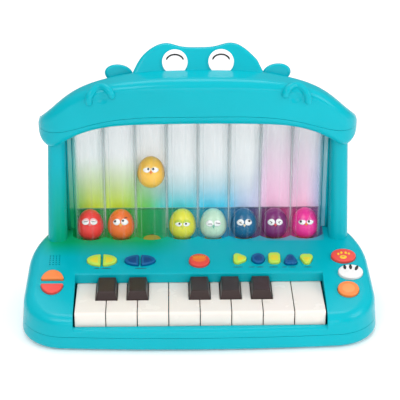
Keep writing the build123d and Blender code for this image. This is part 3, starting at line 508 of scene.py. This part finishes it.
# ------------------------------------------------------------------ CAD nodes
NODE_MATERIALS = {
    "base_bottom_shell": mat_case,
    "base_top_shell": mat_lit_case,
    "battery_door": mat_case,
    "side_posts": mat_lit_post,
    "head_top_shell": mat_case,
    "head_lower_shell": mat_case,
    "brow_and_ears": mat_case,
    "ball_tubes": mat_tube,
    "eyes": mat_eye,
    "key_axle": mat_steel,
    "speaker": mat_cone,
    "circuit_boards": mat_board,
    "contact_pads": mat_grey,
    "screws": mat_screw,
    "feet": mat_foot,
    "power_switch": mat_black,
    "button_left_upper": mat_orange,
    "button_left_lower": mat_red,
    "button_lime_left": mat_lime,
    "button_lime_right": mat_lime,
    "button_blue_left": mat_blue,
    "button_blue_right": mat_blue,
    "button_red_centre": mat_red,
    "button_small_1": mat_lime,
    "button_small_2": mat_blue,
    "button_small_3": mat_lime,
    "button_small_4": mat_blue,
    "button_small_5": mat_lime,
    "button_right_red": mat_red,
    "button_right_white": mat_white,
    "button_right_orange": mat_orange,
}
for i in range(1, WHITE_KEYS + 1):
    NODE_MATERIALS[f"white_key_{i}"] = mat_ivory_key
    NODE_MATERIALS[f"popper_{i}"] = mat_popper
    NODE_MATERIALS[f"ball_{i}"] = mat_balls[i - 1]
for i in range(1, BLACK_KEYS + 1):
    NODE_MATERIALS[f"black_key_{i}"] = mat_dark
for name, material in NODE_MATERIALS.items():
    slots = nodes[name].data.materials
    slots.clear()
    slots.append(material)


# ------------------------------------------------------------------ shared mesh code
def make_piece(name, verts, faces, materials, indices=None, smooth=True):
    """Mesh object from millimetre points, already in the row frame."""
    mesh = bpy.data.meshes.new(name)
    mesh.from_pydata([tuple(c * MM for c in v) for v in verts], [], faces)
    for material in materials:
        mesh.materials.append(material)
    if indices:
        mesh.polygons.foreach_set("material_index", indices)
    mesh.polygons.foreach_set("use_smooth", [smooth] * len(mesh.polygons))
    mesh.validate()
    piece = bpy.data.objects.new(name, mesh)
    bpy.context.scene.collection.objects.link(piece)
    return piece


RIM_SINK = 0.05


class Patch:
    """Collects raised patches on a surface given as a function (u, v, height) -> point."""

    def __init__(self, surface):
        self.surface = surface
        self.verts, self.faces, self.indices = [], [], []

    def add(self, outline, low, rise, material=0, rings=5):
        """Fill an outline with a crowned skin; its rim drops back to the surface."""
        count = len(outline)
        mid_u = sum(p[0] for p in outline) / count
        mid_v = sum(p[1] for p in outline) / count
        start = len(self.verts)
        self.verts.append(self.surface(mid_u, mid_v, low + rise))
        shares = [(k + 1) / rings for k in range(rings)]
        levels = [low + rise * math.sqrt(max(0.0, 1 - s * s)) for s in shares] + [-RIM_SINK]
        shares.append(1.0)
        for share, level in zip(shares, levels):
            for u, v in outline:
                self.verts.append(
                    self.surface(mid_u + share * (u - mid_u), mid_v + share * (v - mid_v), level)
                )
        for k in range(count):
            self.faces.append((start, start + 1 + k, start + 1 + (k + 1) % count))
            self.indices.append(material)
        for ring in range(len(shares) - 1):
            inner = start + 1 + ring * count
            outer = inner + count
            for k in range(count):
                n = (k + 1) % count
                self.faces.append((inner + k, outer + k, outer + n, inner + n))
                self.indices.append(material)

    def piece(self, name, materials):
        return make_piece(name, self.verts, self.faces, materials, self.indices)


def circle(u, v, r, count=28, low=0.0, high=360.0):
    """Points of a circle, or of the segment between two angles."""
    whole = high - low >= 360
    steps = count if whole else count + 1
    return [
        (
            u + r * math.cos(math.radians(low + (high - low) * k / count)),
            v + r * math.sin(math.radians(low + (high - low) * k / count)),
        )
        for k in range(steps)
    ]


def ellipse(u, v, a, b, count=36):
    return [
        (u + a * math.cos(2 * math.pi * k / count), v + b * math.sin(2 * math.pi * k / count))
        for k in range(count)
    ]


def bar(u, v, length, width, turn=0.0, count=6):
    """Rounded bar: a slot outline turned by degrees."""
    c, s = math.cos(math.radians(turn)), math.sin(math.radians(turn))
    half, r = (length - width) / 2, width / 2
    points = []
    for end in (1, -1):
        for k in range(count + 1):
            a = math.radians(-90 + 180 * k / count + (0 if end > 0 else 180))
            x, y = end * half + r * math.cos(a), r * math.sin(a)
            points.append((u + x * c - y * s, v + x * s + y * c))
    return points


# ------------------------------------------------------------------ faces on the balls
BALL_R, BALL_H = 14.2, 34.0
BALL_WAIST = 0.44 * BALL_H
FACE_HEIGHT = 26.0


def bezier(p0, p1, p2, p3, t):
    k = 1 - t
    return k**3 * p0 + 3 * k * k * t * p1 + 3 * k * t * t * p2 + t**3 * p3


def egg_profile(steps=40):
    """(height, radius) pairs up the side of a ball."""
    rows = []
    for k in range(steps + 1):
        t = k / steps
        height = bezier(0, 0, 0.45 * BALL_WAIST, BALL_WAIST, t)
        rows.append((height, bezier(0, 0.55 * BALL_R, BALL_R, BALL_R, t)))
    upper = BALL_H - BALL_WAIST
    for k in range(1, steps + 1):
        t = k / steps
        height = bezier(BALL_WAIST, BALL_WAIST + 0.55 * upper, BALL_H, BALL_H, t)
        rows.append((height, bezier(BALL_R, BALL_R, 0.55 * BALL_R, 0, t)))
    return rows


EGG = egg_profile()
INSIDE_BALL, OUTSIDE_BALL, HALVINGS = 5.0, 24.0, 26  # search for the skin, in mm from the heart


def egg_radius(height):
    for (h0, r0), (h1, r1) in zip(EGG, EGG[1:]):
        if h0 <= height <= h1:
            return r0 + (r1 - r0) * (height - h0) / max(h1 - h0, 1e-9)
    return 0.0


def egg_surface(foot):
    """Surface function of the ball standing on foot, its face towards the player."""
    heart = Vector((0, 0, BALL_WAIST + 2))
    face = Vector((0, -egg_radius(FACE_HEIGHT), FACE_HEIGHT))
    above = Vector((0, -egg_radius(FACE_HEIGHT + 0.5), FACE_HEIGHT + 0.5))
    upward = (above - face).normalized()

    def place(u, v, level):
        aim = (face + Vector((u, 0, 0)) + upward * v - heart).normalized()
        near, far = INSIDE_BALL, OUTSIDE_BALL
        for _ in range(HALVINGS):
            middle = (near + far) / 2
            point = heart + aim * middle
            if math.hypot(point.x, point.y) < egg_radius(point.z):
                near = middle
            else:
                far = middle
        return foot + heart + aim * (near + level)

    return place


WHITE, INK, LID, BEAK = range(4)
EYE_SPREAD, BALL_EYE_R = 4.1, 3.65
BEAK_V = -2.6
FACE_ROUND = 12.6


def spread(u):
    """Aim sideways that lands at u as seen from the front of the round ball."""
    return u / math.sqrt(1 - (u / FACE_ROUND) ** 2)


def lid(u, v, keep):
    """Upper eyelid covering all of the eye but the lowest share."""
    cut = math.degrees(math.asin(max(-1.0, min(1.0, 2 * keep - 1))))
    return circle(u, v, BALL_EYE_R + 0.25, 20, cut, 180 - cut)


def ball_face(number, drop, lids, pupils, dashes, beak, lid_tint):
    """Eyes, lids, pupils, brow dashes and beak raised on the front of one ball."""
    low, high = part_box(f"ball_{number}")
    foot = Vector(((low.x + high.x) / 2, (low.y + high.y) / 2, low.z)) / MM
    surface = egg_surface(foot)
    patch = Patch(lambda u, v, level: surface(spread(u), v - drop, level))
    for side in (-1, 1):
        u = side * EYE_SPREAD
        patch.add(circle(u, 0, BALL_EYE_R), 0.12, 0.55, WHITE)
        if lids:
            patch.add(lid(u, 0, lids), 0.34, 0.55, LID)
    for u, v, r in pupils:
        patch.add(circle(u, v, r, 16), 0.62, 0.12, INK, 3)
    for u, v, length, turn in dashes:
        patch.add(bar(u, v, length, 0.7, turn), 0.80, 0.1, INK, 2)
    if beak:
        width, fall = beak
        outline = [
            (-width, BEAK_V),
            (-0.6 * width, BEAK_V + 0.6),
            (0, BEAK_V + 0.8),
            (0.6 * width, BEAK_V + 0.6),
            (width, BEAK_V),
            (0.55 * width, BEAK_V - 0.6 * fall),
            (0, BEAK_V - fall),
            (-0.55 * width, BEAK_V - 0.6 * fall),
        ]
        patch.add(outline[::-1], 0.1, 1.3, BEAK, 4)
    tint = plastic(f"lid_{number}", lid_tint, rough=0.32, variation=0.03)
    piece = patch.piece(f"ball_face_{number}", [mat_eye, mat_pupil, tint, mat_beaks[number - 1]])
    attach(piece, f"ball_{number}")


mat_beaks = [
    plastic(f"beak_{i + 1}", c, rough=0.34)
    for i, c in enumerate(
        (
            srgb(250, 150, 150),
            srgb(255, 190, 80),
            srgb(240, 130, 60),
            srgb(226, 226, 120),
            srgb(120, 190, 170),
            srgb(240, 220, 190),
            srgb(230, 60, 70),
            srgb(255, 150, 60),
        )
    )
]
L, R = -EYE_SPREAD, EYE_SPREAD
# number, drop of the face, share of the eyes left open (0: no lids), pupils (u, v, radius),
# dashes (u, v, length, turn), beak (half width, fall), colour of the lids
FACES = (
    (
        1, -0.6, 0.52, (), ((L + 0.2, -0.1, 4.2, 0), (R - 0.2, -0.2, 4.2, 0)),
        (1.7, 2.6), srgb(250, 196, 200),
    ),
    (
        2, 0.0, 0, ((L - 1.3, 0.8, 1.25), (R - 1.6, 1.1, 1.15)), ((R + 1.2, 5.0, 3.4, 32),),
        (1.8, 3.0), srgb(252, 140, 70),
    ),
    (
        3, 0.3, 0.62, ((L + 1.6, 0.1, 1.2), (R - 1.6, 0.1, 1.2)), (),
        (1.6, 3.0), srgb(253, 206, 110),
    ),
    (
        4, 2.0, 0.46, ((L + 0.9, -0.5, 1.15), (R - 0.6, -0.5, 1.15)), (),
        (1.5, 3.0), srgb(196, 216, 66),
    ),
    (
        5, 2.4, 0, (), ((L + 0.6, -0.7, 4.0, 0), (R + 0.2, 0.2, 4.6, -6)),
        (1.4, 3.4), srgb(170, 230, 200),
    ),
    (
        6, 1.6, 0, ((R + 0.7, 1.4, 1.3),), ((L + 0.2, 0.2, 2.4, 20), (L + 0.4, -0.9, 2.2, -20)),
        (1.6, 2.8), srgb(20, 96, 160),
    ),
    (
        7, 1.6, 0, (),
        (
            (L - 0.2, 0.3, 2.6, -25), (L + 0.3, -0.9, 2.0, 25),
            (R, 0.3, 2.6, 25), (R - 0.3, -0.8, 1.8, -30),
        ),
        (1.7, 2.6), srgb(100, 36, 112),
    ),
    (
        8, 1.2, 0.58, ((L - 1.1, 0.0, 1.3), (R - 1.3, 0.0, 1.3)), (),
        (1.6, 2.4), srgb(246, 96, 176),
    ),
)
for row in FACES:
    ball_face(*row)


# ------------------------------------------------------------------ eyes on the brow
def brow_surface(x, up, level):
    """Point on the leaning front of the brow."""
    along = Vector((0, math.sin(BROW_TILT), math.cos(BROW_TILT)))
    out = Vector((0, -math.cos(BROW_TILT), math.sin(BROW_TILT)))
    return BROW_FOOT + Vector((x, 0, 0)) + along * up + out * level


def stroke(points, width):
    """Outline of an even line drawn through points, its ends rounded off by a narrower tip."""
    left, right = [], []
    last = len(points) - 1
    for k, (u, v) in enumerate(points):
        before, after = points[max(k - 1, 0)], points[min(k + 1, last)]
        run = math.hypot(after[0] - before[0], after[1] - before[1])
        nu, nv = -(after[1] - before[1]) / run, (after[0] - before[0]) / run
        half = width / 2 * (0.5 if k in (0, last) else 1.0)
        left.append((u + nu * half, v + nv * half))
        right.append((u - nu * half, v - nv * half))
    return left, right


class Lines:
    """Thin raised lines on a surface function, as strips with a flat top."""

    def __init__(self, surface):
        self.surface = surface
        self.verts, self.faces = [], []

    def add(self, points, width, low, rise):
        left, right = stroke(points, width)
        start = len(self.verts)
        for (lu, lv), (ru, rv) in zip(left, right):
            for u, v, level in (
                (lu, lv, low),
                (lu, lv, low + rise),
                (ru, rv, low + rise),
                (ru, rv, low),
            ):
                self.verts.append(self.surface(u, v, level))
        for k in range(len(points) - 1):
            a = start + 4 * k
            for j in range(4):
                n = (j + 1) % 4
                self.faces.append((a + j, a + 4 + j, a + 4 + n, a + n))
        end = start + 4 * (len(points) - 1)
        self.faces.append((start, start + 1, start + 2, start + 3))
        self.faces.append((end + 3, end + 2, end + 1, end))

    def piece(self, name, material):
        return make_piece(name, self.verts, self.faces, [material], smooth=False)


def arch(u, v, half_width, height, count=16):
    return [
        (u + half_width * math.cos(math.pi * k / count), v + height * math.sin(math.pi * k / count))
        for k in range(count, -1, -1)
    ]


LID_HALF_W, LID_H, LID_UP, LID_LINE_W = 8.6, 6.6, 0.8, 1.6
lines = Lines(brow_surface)
for side in (-1, 1):
    curve = arch(side * EYE_X, EYE_UP + LID_UP, LID_HALF_W, LID_H)[1:-1]
    lines.add(curve, LID_LINE_W, EYE_T - RIM_SINK, 0.25)
eye_lines = lines.piece("eye_lines", mat_pupil)
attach(eye_lines, "case")


# ------------------------------------------------------------------ seals between the tubes
SOFT_CORNER = 0.4


def soft(share):
    """Sine or cosine pushed outwards, which turns an ellipse into a soft-cornered rectangle."""
    return math.copysign(abs(share) ** SOFT_CORNER, share)


def column(verts, faces, rings, half_y, count=16):
    """Upright strip through rings of (x low, x high, z), its plan a soft-cornered rectangle."""
    start = len(verts)
    for x_low, x_high, z in rings:
        for k in range(count):
            a = 2 * math.pi * (k + 0.5) / count
            x = (x_low + x_high) / 2 + soft(math.cos(a)) * (x_high - x_low) / 2
            verts.append((x, TUBE_Y / MM + soft(math.sin(a)) * half_y, z))
    for ring in range(len(rings) - 1):
        for k in range(count):
            a = start + ring * count + k
            b = start + ring * count + (k + 1) % count
            faces.append((a, b, b + count, a + count))
    faces.append(tuple(range(start + count - 1, start - 1, -1)))
    last = start + (len(rings) - 1) * count
    faces.append(tuple(range(last, last + count)))


def case_piece(name, columns, half_y, material):
    """One piece of the case made of several upright strips."""
    verts, faces = [], []
    for rings in columns:
        column(verts, faces, rings, half_y)
    piece = make_piece(name, verts, faces, [material])
    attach(piece, "case")


SEAL_FOOT, SEAL_TOP = 68.0, 176.0
POST_INNER = ((55.0, 136.5), (187.0, 134.6))  # height and x of the posts' inner faces
SEAL_INNER = 133.6


def post_inner(z):
    (z0, x0), (z1, x1) = POST_INNER
    return x0 + (x1 - x0) * (z - z0) / (z1 - z0)


SEAL_HALF_Y, WEB_HALF_Y = 2.2, 1.6
SEAL_BITE = 0.1
WEB_HALF = 0.35
seal_columns = []
for side in (-1, 1):
    at = side * TUBE_COUNT / 2 * TUBE_PITCH / MM
    seal_columns.append([(at - WEB_HALF, at + WEB_HALF, z) for z in (SEAL_FOOT, SEAL_TOP)])
    rings = []
    for z in (SEAL_FOOT, 95.0, 120.0, 150.0, SEAL_TOP):
        pair = sorted((side * SEAL_INNER, side * (post_inner(z) + SEAL_BITE)))
        rings.append((*pair, z))
    seal_columns.append(rings)
case_piece("edge_seals", seal_columns, SEAL_HALF_Y, mat_lit_post)

WEB_TOP = (200.0, 200.0, 198.0, 190.0)  # from the middle of the row outwards
web_columns = []
for k in range(1, TUBE_COUNT):
    at = (k - TUBE_COUNT / 2) * TUBE_PITCH / MM
    top = WEB_TOP[abs(k - TUBE_COUNT // 2)]
    rings = [(at - WEB_HALF, at + WEB_HALF, z) for z in (SEAL_FOOT, 100.0, 140.0, top)]
    web_columns.append(rings)
case_piece("tube_webs", web_columns, WEB_HALF_Y, mat_web)


# ------------------------------------------------------------------ plugs over the head screws
PLUG_AT = ((-115.0, 71.2), (115.0, 71.2))
PLUG_R, PLUG_RISE = 2.6, 0.35
shell_mesh = nodes["head_top_shell"].data
shell_tree = BVHTree.FromPolygons(
    [v.co for v in shell_mesh.vertices], [tuple(p.vertices) for p in shell_mesh.polygons]
)


def shell_height(x, y):
    hit = shell_tree.ray_cast(Vector((x * MM, y * MM, 1.0)), Vector((0, 0, -1)))[0]
    return hit.z / MM


def plug_surface(x, y):
    """Surface function of the head's skin around a screw, flat across the hole itself."""
    reach = PLUG_R
    east, west = shell_height(x + reach, y), shell_height(x - reach, y)
    north, south = shell_height(x, y + reach), shell_height(x, y - reach)
    middle = (east + west + north + south) / 4
    slope_x, slope_y = (east - west) / (2 * reach), (north - south) / (2 * reach)
    normal = Vector((-slope_x, -slope_y, 1)).normalized()

    def place(u, v, level):
        return Vector((x + u, y + v, middle + slope_x * u + slope_y * v)) + normal * level

    return place


for word, (x, y) in zip(("left", "right"), PLUG_AT):
    plug = Patch(plug_surface(x, y))
    plug.add(circle(0, 0, PLUG_R), 0.05, PLUG_RISE)
    plug_piece = plug.piece(f"screw_plug_{word}", [mat_case])
    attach(plug_piece, "case")


# ------------------------------------------------------------------ marks on the deck
CORE_SINK, CORE_RISE = -0.25, 0.55  # an inlay's edge over its cap, and its crown's rise over that
CAP = 3.0  # height of a button's cap over the deck


def deck_surface(x, y, level):
    """Point above the sloping deck; x and y are seen from above at the deck itself."""
    return Vector((x, y, DECK_Z + y * math.tan(DECK_TILT))) + DECK_UP * level


def cap_surface(x, y, level):
    return deck_surface(x, y, CAP + level)


DECK_UP = Vector((0, -math.sin(DECK_TILT), math.cos(DECK_TILT)))


def core(node, outline, material, name):
    """Slightly domed inlay on a button cap."""
    patch = Patch(cap_surface)
    patch.add(outline, CORE_SINK, CORE_RISE, rings=6)
    piece = patch.piece(name, [material])
    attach(piece, node)


def half_ellipse(u, v, a, b, side, gap, count=20):
    """Left (-1) or right (1) half of an ellipse, its flat edge kept off the middle by gap."""
    start = math.acos(gap / a)
    points = []
    for k in range(count + 1):
        t = -start + 2 * start * k / count
        points.append((u + side * a * math.cos(t), v + b * math.sin(t)))
    return points if side > 0 else points[::-1]


PAIRS = (
    ("lime", -99.5, -1.3, 12.6, 5.5, mat_lime_core, "lime"),
    ("blue", -60.4, -1.9, 13.0, 5.2, mat_blue_core, "blue"),
)
for colour, x, y, a, b, material, slot in PAIRS:
    for word, side in (("left", -1), ("right", 1)):
        outline = half_ellipse(x, y, a, b, side, 3.2)
        core(f"button_{colour}_{word}", outline, material, f"inlay_{colour}_{word}")


def polygon(u, v, radius, count, turn, round_share=0.35, steps=5):
    """Regular outline with rounded corners."""
    corners = [
        Vector(
            (
                radius * math.cos(math.radians(turn + 360 * k / count)),
                radius * math.sin(math.radians(turn + 360 * k / count)),
            )
        )
        for k in range(count)
    ]
    points = []
    for k, corner in enumerate(corners):
        before, after = corners[k - 1], corners[(k + 1) % count]
        p0 = corner.lerp(before, round_share)
        p2 = corner.lerp(after, round_share)
        for j in range(steps + 1):
            t = j / steps
            point = p0 * (1 - t) ** 2 + corner * 2 * t * (1 - t) + p2 * t * t
            points.append((u + point.x, v + point.y))
    return points


SMALL = (
    (1, polygon(42.8, -1.0, 6.6, 3, 0), mat_lime_core, "lime"),
    (2, ellipse(61.1, -0.8, 5.0, 4.8), mat_blue_core, "blue"),
    (3, polygon(77.8, -0.4, 6.6, 4, 45), mat_lime_core, "lime"),
    (4, polygon(94.3, -1.8, 6.4, 3, 90), mat_blue_core, "blue"),
    (5, polygon(110.9, -2.8, 6.4, 3, -90), mat_lime_core, "lime"),
)
for number, outline, material, slot in SMALL:
    core(f"button_small_{number}", outline, material, f"inlay_small_{number}")

core("button_red_centre", ellipse(0.5, -1.2, 8.2, 5.0), mat_red_core, "inlay_red_centre")
rays = Lines(cap_surface)
for k in range(-3, 4):
    foot_u, top_u = 0.5 + 1.3 * k, 0.5 + 2.3 * k
    rays.add([(foot_u, -1.0), (top_u, 4.2 - 0.18 * k * k)], 0.7, 0.15, 0.35)
rays_piece = rays.piece("rays_red_centre", mat_yellow)
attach(rays_piece, "button_red_centre")

paw = Patch(cap_surface)
paw.add(ellipse(148.8, -0.6, 3.7, 2.7), -0.05, 0.6, 0, 5)
for u, v, r in ((144.0, 4.0, 1.25), (147.3, 5.8, 1.35), (151.9, 5.7, 1.35), (155.0, 4.3, 1.25)):
    paw.add(ellipse(u, v, r, r * 1.25, 18), -0.05, 0.6, 0, 4)
paw.add(ellipse(148.8, -0.6, 1.7, 1.1, 20), 0.45, 0.2, 1, 3)
paw_piece = paw.piece("paw_print", [mat_yellow, mat_orange])
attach(paw_piece, "button_right_red")

bars = Lines(cap_surface)
for top_u, top_v, foot_u, foot_v in (
    (148.8, -12.4, 149.0, -18.4),
    (154.9, -11.8, 154.7, -18.6),
    (162.4, -13.6, 159.4, -20.0),
):
    middle = ((top_u + foot_u) / 2, (top_v + foot_v) / 2)
    bars.add([(top_u, top_v), middle, (foot_u, foot_v)], 3.3, -0.4, 0.65)
bars_piece = bars.piece("bars_white", mat_pupil)
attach(bars_piece, "button_right_white")

rings = Patch(cap_surface)
rings.add(ellipse(149.9, -45.0, 7.4, 7.2), CORE_SINK, 0.5, rings=6)
ring_piece = rings.piece("inlay_right_orange", [mat_orange_core])
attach(ring_piece, "button_right_orange")

labels = Lines(deck_surface)
LABELS = (  # low x, high x, y
    (34.7, 44.8, -10.8),
    (50.8, 57.5, -11.0),
    (58.6, 66.4, -11.1),
    (71.8, 81.0, -11.2),
    (85.1, 90.4, -11.4),
    (91.6, 99.4, -11.5),
    (107.3, 115.6, -11.7),
    (-107.3, -101.6, -11.2),
    (-99.8, -89.6, -11.2),
    (-65.4, -53.6, -11.4),
)
for low, high, y in LABELS:
    labels.add([(low, y), ((low + high) / 2, y), (high, y)], 0.9, -RIM_SINK, 0.17)
label_piece = labels.piece("label_dashes", mat_ink)
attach(label_piece, "case")


# ------------------------------------------------------------------ floor
FLOOR_SIZE = 12.0
bpy.ops.mesh.primitive_plane_add(size=FLOOR_SIZE, location=(0, 0, 0))
floor = bpy.context.object
floor.name = "floor"
floor_mat, _, floor_bsdf = new_material("floor_pale")
floor_bsdf.inputs["Base Color"].default_value = (0.95, 0.95, 0.95, 1)
floor_bsdf.inputs["Emission Color"].default_value = (1, 1, 1, 1)
floor_bsdf.inputs["Emission Strength"].default_value = 0.12
floor_bsdf.inputs["Roughness"].default_value = 0.9
floor_bsdf.inputs["Specular IOR Level"].default_value = 0.1
floor.data.materials.append(floor_mat)


# ------------------------------------------------------------------ light
def area_light(name, location, target, size, power):
    lamp = bpy.data.lights.new(name, "AREA")
    lamp.shape = "RECTANGLE"
    lamp.size, lamp.size_y = size
    lamp.energy = power
    holder = bpy.data.objects.new(name, lamp)
    bpy.context.scene.collection.objects.link(holder)
    holder.location = location
    aim = Vector(target) - Vector(location)
    holder.rotation_euler = aim.to_track_quat("-Z", "Y").to_euler()


LIGHTS = (
    ("key_softbox", (-0.7, -1.3, 1.6), (0, 0, 0.1), (0.9, 0.7), 11),
    ("fill_softbox", (1.5, -0.8, 0.9), (0, 0, 0.12), (0.8, 1.0), 11),
    ("front_softbox", (0.1, -2.0, 0.55), (0, 0, 0.1), (1.2, 0.6), 6.5),
    ("top_softbox", (0, 0.5, 1.9), (0, 0, 0.1), (1.2, 0.9), 13),
)
for row in LIGHTS:
    area_light(*row)

world = bpy.data.worlds.new("studio")
world.use_nodes = True
world_tree = world.node_tree
world_place = world_tree.nodes.new("ShaderNodeTexCoord")
world_split = world_tree.nodes.new("ShaderNodeSeparateXYZ")
world_tree.links.new(world_place.outputs["Generated"], world_split.inputs["Vector"])
sky = ramp(
    world_tree,
    world_split.outputs["Z"],
    ((0.0, (0.30, 0.30, 0.30, 1)), (0.25, (0.32, 0.32, 0.32, 1)), (0.7, (0.9, 0.9, 0.9, 1))),
)
world_tree.links.new(sky, world_tree.nodes["Background"].inputs["Color"])
world_tree.nodes["Background"].inputs["Strength"].default_value = 0.8
bpy.context.scene.world = world
bpy.context.scene.view_settings.view_transform = "Standard"

# ------------------------------------------------------------------ camera
CAMERA_AT = Vector((-28.14, -1364.52, 815.21)) * MM
ELEVATION = math.radians(26.844)
YAW = math.radians(1.233)
ROLL = math.radians(0.069)
FOCAL_PIXELS = 1516.85
FRAME_PIXELS = 400
SENSOR = 36.0
view = Vector(
    (
        math.sin(YAW) * math.cos(ELEVATION),
        math.cos(YAW) * math.cos(ELEVATION),
        -math.sin(ELEVATION),
    )
)
level = Vector((math.cos(YAW), -math.sin(YAW), 0.0))
upward = level.cross(view)
right = level * math.cos(ROLL) + upward * math.sin(ROLL)
upward = right.cross(view)
camera_data = bpy.data.cameras.new("camera")
camera_data.sensor_width = SENSOR
camera_data.lens = FOCAL_PIXELS * SENSOR / FRAME_PIXELS
camera = bpy.data.objects.new("camera", camera_data)
bpy.context.scene.collection.objects.link(camera)
camera.matrix_world = (
    Matrix.Translation(CAMERA_AT) @ Matrix((right, upward, -view)).transposed().to_4x4()
)
bpy.context.scene.camera = camera
